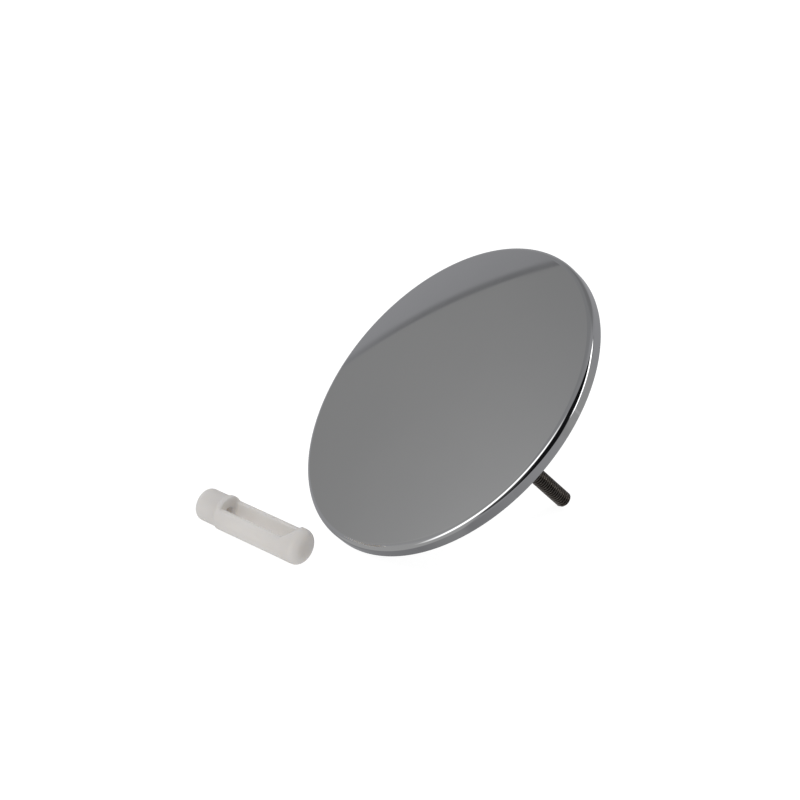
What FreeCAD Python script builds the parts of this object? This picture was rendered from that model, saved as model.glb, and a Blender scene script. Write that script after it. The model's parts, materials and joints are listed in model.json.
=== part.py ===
import FreeCAD
import Part
import Sketcher
import math
import os

# Drain stopper, all lengths in millimetres. The stopper is modelled with its axis on Z, depth counted
# from the crown of the cap down to the tip of the stud. The stem is modelled with its axis on X, counted
# from the neck end to the nose.
SIZES = [
    # Cap: thin polished disc with a hollow back.
    ("cap_radius", 40.0),
    ("cap_crown_rise", 0.8),
    ("cap_rim_height", 3.5),
    ("cap_rim_flat", 2.1),
    ("cap_rim_wall", 1.2),
    ("cap_web", 0.9),
    # Boss: brass insert on the back of the cap, tapped for the stud.
    ("boss_radius", 8.0),
    ("boss_setback", 0.5),
    ("boss_chamfer", 0.5),
    # Stud: threaded at both ends, with a plain reduced shank between.
    ("thread_radius", 2.0),
    ("thread_clearance", 0.05),
    ("thread_tap_depth", 0.35),
    ("stud_length", 45.0),
    ("stud_head_gap", 2.0),
    ("stud_chamfer", 0.4),
    ("stud_upper_thread", 15.6),
    ("stud_lower_thread", 20.4),
    ("stud_shank_step", 0.3),
    # Seal plate: spigot inside the ring, flange under it, ribbed hub in the middle.
    ("plate_spigot_radius", 24.0),
    ("plate_spigot_height", 2.5),
    ("plate_flange_width", 3.5),
    ("plate_flange_height", 2.0),
    ("plate_hub_radius", 12.0),
    ("plate_hub_height", 2.0),
    ("plate_bore_clearance", 0.1),
    ("plate_edge_round", 0.6),
    ("rib_width", 2.0),
    ("rib_height", 1.4),
    ("rib_root", 2.0),
    ("rib_end_margin", 1.5),
    # Seal ring: clamped inner band and a thicker free lip.
    ("seal_bore_clearance", 0.1),
    ("seal_flange_gap", 0.4),
    ("seal_lip_width", 4.1),
    ("seal_lip_gap", 0.5),
    ("seal_lip_drop", 0.8),
    ("seal_lip_round", 0.8),
    # Washer and nut that clamp the plate.
    ("washer_radius", 11.0),
    ("washer_height", 1.0),
    ("washer_clearance", 0.15),
    ("washer_chamfer", 0.2),
    ("nut_half_flats", 3.5),
    ("nut_height", 3.2),
    ("nut_chamfer_inset", 0.1),
    ("nut_chamfer_height", 0.4),
    ("nut_corner_reach", 0.7),
    # Stem: neck, collar, slotted eye with flat-topped walls, round nose.
    ("stem_neck_length", 6.2),
    ("stem_neck_round", 1.5),
    ("stem_collar_length", 1.2),
    ("stem_collar_step", 0.37),
    ("stem_collar_round", 0.25),
    ("stem_nose_length", 4.65),
    ("stem_nose_round", 2.2),
    ("slot_length", 17.6),
    ("slot_half_width", 2.4),
    ("eye_wall", 1.77),
    ("eye_flat_height", 2.2),
    ("eye_ramp_back", 0.4),
    ("eye_ramp_reach", 4.64),
    ("socket_chamfer", 0.4),
    ("cut_overrun", 2.0),
    # Lay of the stem's neck end on the table, from the spot where the cap's rim touches it.
    ("stem_lay_x", -29.575),
    ("stem_lay_y", -0.925),
]
RIB_COUNT = 6
CAP_HEADING = -152.37
STEM_HEADING = -34.0
FULL_TURN = 360.0
QUARTER_TURN = 90.0
HALF_SHARE = 0.5
TOUCH = 1e-6

VALUE = dict(SIZES)
RECESS = "cap_crown_rise + cap_web"
RIM = "cap_crown_rise + cap_rim_height"
STUD_HEAD = RECESS + " + stud_head_gap"
STUD_TIP = STUD_HEAD + " + stud_length"
FLANGE_TOP = RECESS + " + plate_spigot_height"
FLANGE_END = FLANGE_TOP + " + plate_flange_height"
HUB_END = FLANGE_END + " + plate_hub_height"
BOSS_END = HUB_END + " - boss_setback"
WASHER_END = HUB_END + " + washer_height"
NUT_END = WASHER_END + " + nut_height"
BORE = "thread_radius + thread_clearance"
FLANGE_RADIUS = "plate_spigot_radius + plate_flange_width"
STEM_RADIUS = "slot_half_width + eye_wall"
SLOT_START = "stem_neck_length + stem_collar_length"
SLOT_END = SLOT_START + " + slot_length"

document = FreeCAD.newDocument("drain_stopper")
sheet = document.addObject("Spreadsheet::Sheet", "sizes")
for row, (alias, value) in enumerate(SIZES, start=1):
    sheet.set("A%d" % row, alias)
    sheet.set("B%d" % row, str(value))
    sheet.setAlias("B%d" % row, alias)
document.recompute()


def amount(words):
    """Value of a sum of sizes written as 'first + second - third'; '0' is nothing."""
    total = 0
    sign = 1
    for word in words.split():
        if word == "+":
            sign = 1
        elif word == "-":
            sign = -1
        elif word != "0":
            total += sign * VALUE[word]
    return total


def bound(words):
    """The same sum as an expression on the size sheet."""
    return " ".join(word if word in "+-" else "sizes." + word for word in words.split())


def new_body(name):
    """Empty body for one piece."""
    return document.addObject("PartDesign::Body", name)


def origin_item(body, role):
    """One of the body's own origin planes or axes."""
    return [item for item in body.Origin.OriginFeatures if item.Role == role][0]


def new_sketch(body, name, role):
    """Sketch on one of the body's own origin planes."""
    sketch = body.newObject("Sketcher::SketchObject", name)
    sketch.AttachmentSupport = (origin_item(body, role), "")
    sketch.MapMode = "FlatFace"
    return sketch


def hold(sketch, words, kind, *ends):
    """Distance constraint bound to a sum of sizes."""
    index = sketch.addConstraint(Sketcher.Constraint(kind, *ends, amount(words)))
    sketch.setExpression("Constraints[%d]" % index, bound(words))


def close_loop(sketch, curves):
    """Add curves that follow each other round a closed loop."""
    for curve in curves:
        sketch.addGeometry(curve, False)
    for index in range(len(curves)):
        following = (index + 1) % len(curves)
        sketch.addConstraint(Sketcher.Constraint("Coincident", index, 2, following, 1))


def sides(points):
    """Straight lines from each point to the next, and from the last to the first."""
    return [Part.LineSegment(start, end) for start, end in zip(points, points[1:] + points[:1])]


def outline(body, name, role, corners, crowned=False):
    """Closed outline through corners given as sums of sizes; a crowned one starts with a dome arc."""
    sketch = new_sketch(body, name, role)
    points = [FreeCAD.Vector(amount(across), amount(up), 0) for across, up in corners]
    curves = sides(points)
    if crowned:
        reach = points[1].x
        rise = points[1].y
        radius = (reach * reach + rise * rise) * HALF_SHARE / rise
        circle = Part.Circle(FreeCAD.Vector(0, radius, 0), FreeCAD.Vector(0, 0, 1), radius)
        low = math.radians(-QUARTER_TURN)
        curves[0] = Part.ArcOfCircle(circle, low, low + math.asin(reach / radius))
    close_loop(sketch, curves)
    if crowned:
        sketch.addConstraint(Sketcher.Constraint("PointOnObject", 0, 3, -2))
    for index, (across, up) in enumerate(corners):
        for kind, axis, words in (("DistanceX", -2, across), ("DistanceY", -1, up)):
            if words == "0":
                sketch.addConstraint(Sketcher.Constraint("PointOnObject", index, 1, axis))
            else:
                hold(sketch, words, kind, -1, 1, index, 1)
    return sketch


def band(body, name, role, start, end, width):
    """Rectangle along the sketch's first axis, centred on that axis."""
    sketch = new_sketch(body, name, role)
    half = amount(width) * HALF_SHARE
    corners = [(start, -half), (end, -half), (end, half), (start, half)]
    close_loop(sketch, sides([FreeCAD.Vector(amount(along), up, 0) for along, up in corners]))
    for upright in (1, 3):
        sketch.addConstraint(Sketcher.Constraint("Symmetric", upright, 1, upright, 2, -1))
    for upright, words in ((1, end), (3, start)):
        hold(sketch, words, "DistanceX", -1, 1, upright, 1)
    hold(sketch, width, "DistanceY", 1, 1, 1, 2)
    hold(sketch, width, "DistanceY", 3, 2, 3, 1)
    return sketch


def turn(body, name, corners, axis="V_Axis", kind="Revolution", crowned=False):
    """Turned solid, or turned cut, from an outline on the XZ plane."""
    sketch = outline(body, name + "_outline", "XZ_Plane", corners, crowned)
    feature = body.newObject("PartDesign::" + kind, name)
    feature.Profile = sketch
    feature.ReferenceAxis = (sketch, [axis])
    feature.Angle = FULL_TURN
    document.recompute()
    return feature


def rings(feature, radius, level, axis="z"):
    """Names of the circular edges of a given radius at a given level along the axis."""
    found = []
    for index, edge in enumerate(feature.Shape.Edges, start=1):
        if not edge.Degenerated and isinstance(edge.Curve, Part.Circle):
            same_radius = math.isclose(edge.Curve.Radius, radius, abs_tol=TOUCH)
            if same_radius and math.isclose(getattr(edge.Curve.Center, axis), level, abs_tol=TOUCH):
                found.append("Edge%d" % index)
    if not found:
        raise RuntimeError("no edge of radius %g at %g on %s" % (radius, level, feature.Name))
    return found


def dress(body, kind, name, words, places, axis="z"):
    """Round (Fillet) or bevel (Chamfer) ring edges, each given as radius and level sums."""
    base = body.Tip
    edges = []
    for radius, level in places:
        edges += rings(base, amount(radius), amount(level), axis)
    feature = body.newObject("PartDesign::" + kind, name)
    feature.Base = (base, edges)
    feature.setExpression("Radius" if kind == "Fillet" else "Size", bound(words))
    document.recompute()
    return feature


def cut_through(body, name, sketch):
    """Pocket through the whole body, both ways from its sketch."""
    before = body.Shape.Volume
    feature = body.newObject("PartDesign::Pocket", name)
    feature.Profile = sketch
    feature.Type = "ThroughAll"
    feature.SideType = "Symmetric"
    document.recompute()
    if body.Shape.Volume > before - TOUCH:
        raise RuntimeError(name + " removes nothing")
    return feature


def make_cap():
    """Thin disc with a faintly domed face, rounded front edge and hollow back."""
    inner = "cap_radius - cap_rim_wall"
    body = new_body("cap")
    corners = [("0", "0"), ("cap_radius", "cap_crown_rise"), ("cap_radius", RIM), (inner, RIM)]
    corners += [(inner, RECESS), ("0", RECESS)]
    turn(body, "cap_disc", corners, crowned=True)
    dress(body, "Fillet", "cap_edge", "cap_rim_height - cap_rim_flat", [("cap_radius", "cap_crown_rise")])
    return body


def make_boss():
    """Brass insert with a tapped bore."""
    body = new_body("boss")
    corners = [(BORE, RECESS), ("boss_radius", RECESS), ("boss_radius", BOSS_END), (BORE, BOSS_END)]
    turn(body, "boss_barrel", corners)
    dress(body, "Chamfer", "boss_bevel", "boss_chamfer", [("boss_radius", BOSS_END)])
    return body


def make_stud():
    """Rod with a thread at each end and a thinner plain shank between."""
    upper_end = STUD_HEAD + " + stud_upper_thread"
    lower_start = STUD_TIP + " - stud_lower_thread"
    bevelled = "thread_radius - stud_chamfer"
    shank = "thread_radius - stud_shank_step"
    body = new_body("stud")
    corners = [("0", STUD_HEAD), (bevelled, STUD_HEAD), ("thread_radius", STUD_HEAD + " + stud_chamfer")]
    corners += [("thread_radius", upper_end), (shank, upper_end + " + stud_chamfer")]
    corners += [(shank, lower_start + " - stud_chamfer"), ("thread_radius", lower_start)]
    corners += [("thread_radius", STUD_TIP + " - stud_chamfer"), (bevelled, STUD_TIP), ("0", STUD_TIP)]
    turn(body, "stud_rod", corners)
    return body


def make_seal_plate():
    """Moulded plate: spigot inside the ring, flange under it and a hub stiffened by ribs."""
    bore = "boss_radius + plate_bore_clearance"
    body = new_body("seal_plate")
    corners = [(bore, RECESS), ("plate_spigot_radius", RECESS), ("plate_spigot_radius", FLANGE_TOP)]
    corners += [(FLANGE_RADIUS, FLANGE_TOP), (FLANGE_RADIUS, FLANGE_END)]
    corners += [("plate_hub_radius", FLANGE_END), ("plate_hub_radius", HUB_END), (bore, HUB_END)]
    turn(body, "plate_disc", corners)
    dress(body, "Fillet", "plate_edge", "plate_edge_round", [(FLANGE_RADIUS, FLANGE_END)])
    rib_start = "plate_hub_radius - rib_root"
    rib_end = FLANGE_RADIUS + " - rib_end_margin"
    sketch = band(body, "rib_outline", "XY_Plane", rib_start, rib_end, "rib_width")
    sketch.setExpression("AttachmentOffset.Base.z", bound(FLANGE_END))
    rib = body.newObject("PartDesign::Pad", "rib")
    rib.Profile = sketch
    rib.setExpression("Length", bound("rib_height"))
    document.recompute()
    ribs = body.newObject("PartDesign::PolarPattern", "ribs")
    ribs.Originals = [rib]
    ribs.Axis = (origin_item(body, "Z_Axis"), [""])
    ribs.Angle = FULL_TURN
    ribs.Occurrences = RIB_COUNT
    body.Tip = ribs
    document.recompute()
    return body


def make_seal_ring():
    """Rubber ring: inner band clamped by the plate, thicker lip free to flex."""
    inner = "plate_spigot_radius + seal_bore_clearance"
    lip_start = FLANGE_RADIUS + " + seal_flange_gap"
    lip = lip_start + " + seal_lip_width"
    lip_top = RECESS + " + seal_lip_gap"
    lip_end = FLANGE_TOP + " + seal_lip_drop"
    body = new_body("seal_ring")
    corners = [(inner, RECESS), (lip_start, RECESS), (lip_start + " + seal_lip_gap", lip_top)]
    corners += [(lip, lip_top), (lip, lip_end), (lip_start, lip_end)]
    corners += [(lip_start, FLANGE_TOP), (inner, FLANGE_TOP)]
    turn(body, "seal_band", corners)
    dress(body, "Fillet", "seal_lip_edges", "seal_lip_round", [(lip, lip_top), (lip, lip_end)])
    return body


def make_clamp_washer():
    """Flat washer under the nut."""
    bore = "thread_radius + washer_clearance"
    body = new_body("clamp_washer")
    corners = [(bore, HUB_END), ("washer_radius", HUB_END), ("washer_radius", WASHER_END), (bore, WASHER_END)]
    turn(body, "washer_disc", corners)
    dress(body, "Chamfer", "washer_bevel", "washer_chamfer", [("washer_radius", WASHER_END)])
    return body


def make_clamp_nut():
    """Hexagon nut with bevelled corners."""
    prism = document.addObject("Part::Prism", "nut_hexagon")
    prism.Polygon = 6
    prism.setExpression("Circumradius", "sizes.nut_half_flats * 2 / sqrt(3)")
    prism.setExpression("Height", bound("nut_height"))
    prism.setExpression("Placement.Base.z", bound(WASHER_END))
    blank = new_body("nut_blank")
    wide = "nut_half_flats + nut_corner_reach"
    face = "nut_half_flats - nut_chamfer_inset"
    corners = [(BORE, WASHER_END), (face, WASHER_END)]
    corners += [(wide, WASHER_END + " + nut_chamfer_height"), (wide, NUT_END + " - nut_chamfer_height")]
    corners += [(face, NUT_END), (BORE, NUT_END)]
    turn(blank, "nut_turning", corners)
    nut = document.addObject("Part::Common", "clamp_nut")
    nut.Base = prism
    nut.Tool = blank
    document.recompute()
    return nut


def make_eye_stem():
    """Moulded stem: neck with a tapped socket, collar, slotted eye whose flat top ramps up to the round nose."""
    neck = STEM_RADIUS + " - stem_collar_step"
    length = SLOT_END + " + stem_nose_length"
    body = new_body("eye_stem")
    corners = [("0", "0"), ("0", neck), ("stem_neck_length", neck), ("stem_neck_length", STEM_RADIUS)]
    corners += [(length, STEM_RADIUS), (length, "0")]
    turn(body, "stem_rod", corners, "H_Axis")
    dress(body, "Fillet", "stem_nose", "stem_nose_round", [(STEM_RADIUS, length)], "x")
    dress(body, "Fillet", "stem_neck_end", "stem_neck_round", [(neck, "0")], "x")
    dress(body, "Fillet", "stem_collar", "stem_collar_round", [(STEM_RADIUS, "stem_neck_length")], "x")
    width = "slot_half_width + slot_half_width"
    cut_through(body, "slot", band(body, "slot_outline", "XY_Plane", SLOT_START, SLOT_END, width))
    top = STEM_RADIUS + " + cut_overrun"
    corners = [(SLOT_START, "eye_flat_height"), (SLOT_END + " - eye_ramp_back", "eye_flat_height")]
    corners += [(SLOT_END + " + eye_ramp_reach", top), (SLOT_START, top)]
    cut_through(body, "eye_flat", outline(body, "eye_flat_outline", "XZ_Plane", corners))
    before = body.Shape.Volume
    socket = "thread_radius - thread_tap_depth"
    inside = SLOT_START + " + cut_overrun"
    corners = [("0", "0"), ("0", socket + " + socket_chamfer"), ("socket_chamfer", socket)]
    corners += [(inside, socket), (inside, "0")]
    turn(body, "socket", corners, "H_Axis", "Groove")
    if body.Shape.Volume > before - TOUCH:
        raise RuntimeError("socket removes nothing")
    return body


def make_poses():
    """Lay of the stopper, leaning on rim and stud tip, and of the stem, flat beside it."""
    reach = amount(STUD_TIP) - amount(RIM)
    bevel = VALUE["stud_chamfer"]
    tip = VALUE["thread_radius"]
    edges = [(tip - bevel, reach), (tip, reach - bevel)]
    lean = min(math.degrees(math.atan2(VALUE["cap_radius"] - radius, depth)) for radius, depth in edges)
    heading = FreeCAD.Rotation(FreeCAD.Vector(0, 0, 1), CAP_HEADING)
    tilt = FreeCAD.Rotation(FreeCAD.Vector(0, 1, 0), -(QUARTER_TURN + lean))
    turned = heading.multiply(tilt)
    height = VALUE["cap_radius"] * math.cos(math.radians(lean))
    rim = turned.multVec(FreeCAD.Vector(0, 0, amount(RIM)))
    stopper = FreeCAD.Placement(FreeCAD.Vector(0, 0, height) - rim, turned)
    lowest = heading.multVec(FreeCAD.Vector(VALUE["cap_radius"] * math.sin(math.radians(lean)), 0, 0))
    lay = lowest + FreeCAD.Vector(VALUE["stem_lay_x"], VALUE["stem_lay_y"], amount(STEM_RADIUS))
    stem = FreeCAD.Placement(lay, FreeCAD.Rotation(FreeCAD.Vector(0, 0, 1), STEM_HEADING))
    return stopper, stem


def place(pieces, stem):
    """Pose every piece, then move the whole so that the middle of its floor print is the origin."""
    stopper_pose, stem_pose = make_poses()
    for piece in pieces:
        piece.Placement = stem_pose if piece == stem else stopper_pose
    document.recompute()
    box = Part.makeCompound([piece.Shape for piece in pieces]).optimalBoundingBox(False, False)
    shift = FreeCAD.Vector(-box.Center.x, -box.Center.y, -box.ZMin)
    for piece in pieces:
        piece.Placement = FreeCAD.Placement(piece.Placement.Base + shift, piece.Placement.Rotation)
    document.recompute()
    return shift, box


def check_document():
    """Stop if any object failed or any shape is empty or broken."""
    for item in document.Objects:
        if "Invalid" in item.State or "Error" in item.State:
            raise RuntimeError("failed: " + item.Name)
        if item.isDerivedFrom("Part::Feature") and (item.Shape.isNull() or not item.Shape.isValid()):
            raise RuntimeError("bad shape: " + item.Name)


def main():
    """Build, pose and write every piece."""
    makers = [make_cap, make_boss, make_stud, make_seal_ring, make_seal_plate]
    makers += [make_clamp_washer, make_clamp_nut, make_eye_stem]
    pieces = [maker() for maker in makers]
    stem = pieces[-1]
    shift, box = place(pieces, stem)
    check_document()
    os.makedirs("parts", exist_ok=True)
    for piece in pieces:
        piece.Label = piece.Name
        piece.Shape.exportStep("parts/%s.step" % piece.Name)
    print("shift", shift, "extent", box.XLength, box.YLength, box.ZLength)
    cap_pose = pieces[0].Placement
    for name, words in (("rim", RIM), ("hub_end", HUB_END), ("washer_end", WASHER_END), ("nut_end", NUT_END),
                        ("stud_tip", STUD_TIP), ("seal_face", FLANGE_TOP + " + seal_lip_drop")):
        print(name, amount(words), cap_pose.multVec(FreeCAD.Vector(0, 0, amount(words))))
    print("stopper axis", cap_pose.Rotation.multVec(FreeCAD.Vector(0, 0, 1)))
    print("stem", stem.Placement.Base, stem.Placement.Rotation.multVec(FreeCAD.Vector(1, 0, 0)))


main()
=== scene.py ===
"""Drain stopper: a mirror-chromed cap on a threaded stud with its clamped seal, and its loose eye stem.

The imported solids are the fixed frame. The cap, stud, seal pieces and stem are surfaces worked out here round
the same axes. Lengths in the pieces' classes are millimetres, and depth runs from the cap's crown to the
stud's tip.
"""
import json
import logging
import math
from dataclasses import dataclass
from enum import Enum

import bmesh
import bpy
import numpy as np
from mathutils import Matrix, Vector


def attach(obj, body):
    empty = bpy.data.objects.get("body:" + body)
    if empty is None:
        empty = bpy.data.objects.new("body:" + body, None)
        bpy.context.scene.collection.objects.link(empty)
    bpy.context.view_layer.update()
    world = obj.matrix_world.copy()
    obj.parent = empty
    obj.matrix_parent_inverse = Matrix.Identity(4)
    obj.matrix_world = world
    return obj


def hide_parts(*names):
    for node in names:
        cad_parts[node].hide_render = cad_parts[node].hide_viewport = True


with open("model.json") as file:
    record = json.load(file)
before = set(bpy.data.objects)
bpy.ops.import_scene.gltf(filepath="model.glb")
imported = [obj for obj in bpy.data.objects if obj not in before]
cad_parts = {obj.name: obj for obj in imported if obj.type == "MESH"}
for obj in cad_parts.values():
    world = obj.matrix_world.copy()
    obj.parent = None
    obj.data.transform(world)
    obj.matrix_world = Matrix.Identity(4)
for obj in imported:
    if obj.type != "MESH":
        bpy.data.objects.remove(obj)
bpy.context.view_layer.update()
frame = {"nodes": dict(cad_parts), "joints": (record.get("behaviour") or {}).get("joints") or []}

LOG = logging.getLogger("drain_stopper")
MM = 0.001
# From the cap's crown to the nut's hinge, and from the start of the stem's axis to the stem's hinge.
NUT_DEPTH = 10.8
STEM_REACH = 15.0
Array = np.ndarray
Pair = tuple[float, float]
Colour = tuple[float, float, float]
Feed = "bpy.types.NodeSocket | float | tuple"


class Body(Enum):
    """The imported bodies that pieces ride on."""

    STOPPER = "stopper"
    WASHER = "washer"
    NUT = "nut"
    STEM = "stem"


class Slot(Enum):
    """The record's material slots."""

    CHROME = "chrome_plate"
    BRASS = "brass_insert"
    STUD = "stud_steel"
    RUBBER = "seal_rubber"
    PLASTIC = "plate_plastic"
    FASTENER = "fastener_steel"
    NYLON = "stem_nylon"


class Ends(Enum):
    """How a turned outline closes: on the axis at both ends, or on itself."""

    POLES = "poles"
    LOOP = "loop"


class Bench:
    """Adds and joins the nodes of one shader tree."""

    def __init__(self, tree: bpy.types.NodeTree) -> None:
        """Keeps the tree that the nodes go into."""
        self.tree = tree

    def feed(self, socket: bpy.types.NodeSocket, value: Feed) -> None:
        """Links a socket to another one, or sets its constant."""
        if isinstance(value, bpy.types.NodeSocket):
            self.tree.links.new(value, socket)
        else:
            socket.default_value = value

    def node(self, kind: str, feeds: dict | None = None, **settings: object) -> bpy.types.Node:
        """Adds one node.

        Args:
            kind: Blender's node type.
            feeds: values or sockets by input name or number.
            settings: properties of the node itself.

        Returns:
            The node.
        """
        made = self.tree.nodes.new(kind)
        for key, value in settings.items():
            setattr(made, key, value)
        for key, value in (feeds or {}).items():
            self.feed(made.inputs[key], value)
        return made

    def sum(self, operation: str, *values: Feed) -> bpy.types.NodeSocket:
        """Result of one Math operation on the values."""
        return self.node("ShaderNodeMath", dict(enumerate(values)), operation=operation).outputs[0]

    def dot(self, first: Feed, second: Feed) -> bpy.types.NodeSocket:
        """Dot product of two vectors."""
        made = self.node("ShaderNodeVectorMath", {0: first, 1: second}, operation="DOT_PRODUCT")
        return made.outputs["Value"]

    def span(self, value: Feed, start: float, end: float, low: Feed, high: Feed) -> bpy.types.NodeSocket:
        """Smooth step of a value from low at start to high at end."""
        feeds = dict(enumerate((value, start, end, low, high)))
        return self.node("ShaderNodeMapRange", feeds, interpolation_type="SMOOTHSTEP").outputs[0]

    def noise(self, place: Feed, scale: Feed, detail: float = 3.0) -> bpy.types.NodeSocket:
        """Noise value from 0 to 1 at a place, with scale in cells per metre."""
        return self.node("ShaderNodeTexNoise", {"Vector": place, "Scale": scale, "Detail": detail}).outputs[0]

    def blend(self, share: Feed, first: Feed, second: Feed) -> bpy.types.NodeSocket:
        """Colour between two colours."""
        feeds = {0: share, 6: first, 7: second}
        return self.node("ShaderNodeMix", feeds, data_type="RGBA").outputs[2]

    def dress(self, shader: bpy.types.Node, grain: bpy.types.NodeSocket, depth: float) -> None:
        """Gives a shader a fine relief, with its depth in millimetres, and puts it on the surface."""
        bump = self.node("ShaderNodeBump", {"Height": grain, "Strength": 1.0, "Distance": depth * MM})
        self.feed(shader.inputs["Normal"], bump.outputs[0])
        self.node("ShaderNodeOutputMaterial", {"Surface": shader.outputs[0]})


def rgba(colour: Colour) -> tuple[float, float, float, float]:
    """The colour with full alpha."""
    return (*colour, 1.0)

WHITE = rgba((1.0, 1.0, 1.0))

def new_material(name: str) -> tuple[bpy.types.Material, Bench]:
    """An empty material, and the bench for its nodes."""
    made = bpy.data.materials.new(name)
    made.use_nodes = True
    made.node_tree.nodes.clear()
    return made, Bench(made.node_tree)

def place_object(name: str, data: bpy.types.ID) -> bpy.types.Object:
    """Adds an object with this data to the scene."""
    made = bpy.data.objects.new(name, data)
    bpy.context.scene.collection.objects.link(made)
    return made


class Groups:
    """The node groups that several materials or the studio share, each built once."""

    def __init__(self) -> None:
        """Builds every group."""
        self.mottle = self._mottle()
        self.hairlines = self._hairlines()
        self.card = self._card()

    @staticmethod
    def _start(
        name: str, inputs: dict[str, str], outputs: list[str],
    ) -> tuple[Bench, bpy.types.Node, bpy.types.Node]:
        """Makes an empty group.

        Args:
            name: the group's name.
            inputs: socket kinds by input name.
            outputs: names of the float outputs.

        Returns:
            The group's bench, its input node and its output node.
        """
        tree = bpy.data.node_groups.new(name, "ShaderNodeTree")
        for title, kind in inputs.items():
            tree.interface.new_socket(name=title, in_out="INPUT", socket_type=kind)
        for title in outputs:
            tree.interface.new_socket(name=title, in_out="OUTPUT", socket_type="NodeSocketFloat")
        bench = Bench(tree)
        return bench, bench.node("NodeGroupInput"), bench.node("NodeGroupOutput")

    def _mottle(self) -> bpy.types.NodeTree:
        """Cloudy patches over a fine grain: two noises, the second as many times finer as Fineness says."""
        patch_cut, grain_cut = (0.32, 0.68), (0.25, 0.75)
        inputs = {"Place": "NodeSocketVector", "Scale": "NodeSocketFloat", "Fineness": "NodeSocketFloat"}
        bench, given, out = self._start("mottle", inputs, ["Patches", "Grain"])
        broad = bench.noise(given.outputs["Place"], given.outputs["Scale"], 4.0)
        fine_scale = bench.sum("MULTIPLY", given.outputs["Scale"], given.outputs["Fineness"])
        fine = bench.noise(given.outputs["Place"], fine_scale, 2.0)
        bench.feed(out.inputs["Patches"], bench.span(broad, *patch_cut, 0.0, 1.0))
        bench.feed(out.inputs["Grain"], bench.span(fine, *grain_cut, 0.0, 1.0))
        return bench.tree

    def _hairlines(self) -> bpy.types.NodeTree:
        """Handling scratches: noise stretched thirty times along two directions and cut to its thin peaks."""
        inputs = {"Place": "NodeSocketVector", "Scale": "NodeSocketFloat"}
        bench, given, out = self._start("hairlines", inputs, ["Lines"])
        stretch, peak_cut = (1.0, 30.0, 8.0), (0.66, 0.72)
        found: Feed = 0.0
        for turn in ((0.3, 0.5, 0.4), (1.1, -0.4, 2.0)):
            feeds = {"Vector": given.outputs["Place"], "Rotation": turn, "Scale": stretch}
            drawn = bench.node("ShaderNodeMapping", feeds).outputs[0]
            peak = bench.noise(drawn, given.outputs["Scale"], 1.0)
            found = bench.sum("MAXIMUM", found, bench.span(peak, *peak_cut, 0.0, 1.0))
        bench.feed(out.inputs["Lines"], found)
        return bench.tree

    def _card(self) -> bpy.types.NodeTree:
        """Soft-edged rectangle in the sky.

        The direction is cast on a flat card at unit distance: its offsets along and across the card are dot
        products divided by the one towards the centre. Each offset fades from 1 to 0 over its softness at the
        card's edge. Directions square to the centre or behind it have no share in the card.
        """
        lines = ("Direction", "Centre", "Along", "Across")
        sizes = ("Half length", "Half width", "End softness", "Side softness")
        inputs = dict.fromkeys(lines, "NodeSocketVector") | dict.fromkeys(sizes, "NodeSocketFloat")
        bench, given, out = self._start("soft_card", inputs, ["Mask"])
        ahead = bench.dot(given.outputs["Direction"], given.outputs["Centre"])
        least_ahead, fully_ahead = 0.05, 0.15
        mask = bench.span(ahead, least_ahead, fully_ahead, 0.0, 1.0)
        near = bench.sum("MAXIMUM", ahead, least_ahead)
        edges = (("Along", "Half length", "End softness"), ("Across", "Half width", "Side softness"))
        for line, half, soft in edges:
            offset = bench.sum("DIVIDE", bench.dot(given.outputs["Direction"], given.outputs[line]), near)
            beyond = bench.sum("SUBTRACT", bench.sum("ABSOLUTE", offset), given.outputs[half])
            share = bench.sum("DIVIDE", beyond, given.outputs[soft])
            mask = bench.sum("MULTIPLY", mask, bench.span(share, -1.0, 1.0, 1.0, 0.0))
        bench.feed(out.inputs["Mask"], mask)
        return bench.tree


@dataclass(frozen=True)
class MetalFinish:
    """A bare or plated metal: two shades in patches, roughness range, grain, handling scratches and, where
    given, painted shade in the hollows.
    """

    name: str
    slot: Slot
    colour: Colour
    shade: Colour
    smooth: float
    rough: float
    patch_scale: float
    fineness: float
    grain_depth: float
    scratch_scale: float
    scratch_share: float
    # colour of the painted shade in a thread's roots, led by the mesh's hollow share
    hollow: Colour | None = None
    patch_share: float = 0.6

    def material(self, groups: Groups) -> bpy.types.Material:
        """Builds the material.

        Args:
            groups: the shared node groups.

        Returns:
            The material, with colour, roughness and fine relief that change over the surface.
        """
        made, bench = new_material(self.name)
        place = bench.node("ShaderNodeTexCoord").outputs["Object"]
        feeds = {"Place": place, "Scale": self.patch_scale, "Fineness": self.fineness}
        mottle = bench.node("ShaderNodeGroup", feeds, node_tree=groups.mottle)
        feeds = {"Place": place, "Scale": self.scratch_scale}
        lines = bench.node("ShaderNodeGroup", feeds, node_tree=groups.hairlines)
        colour = bench.blend(mottle.outputs["Patches"], rgba(self.colour), rgba(self.shade))
        # painted shade: the colour darkens towards the hollow colour down in the thread's roots
        if self.hollow:
            hollow = bench.node("ShaderNodeAttribute", attribute_name="hollow").outputs["Fac"]
            colour = bench.blend(hollow, colour, rgba(self.hollow))
        scratch = bench.sum("MULTIPLY", lines.outputs["Lines"], self.scratch_share)
        patches = bench.sum("MULTIPLY", mottle.outputs["Patches"], self.patch_share)
        worn = bench.sum("MAXIMUM", patches, scratch)
        shader = bench.node("ShaderNodeBsdfPrincipled", {"Base Color": colour, "Metallic": 1.0})
        bench.feed(shader.inputs["Roughness"], bench.span(worn, 0.0, 1.0, self.smooth, self.rough))
        bench.dress(shader, mottle.outputs["Grain"], self.grain_depth)
        return made


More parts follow.
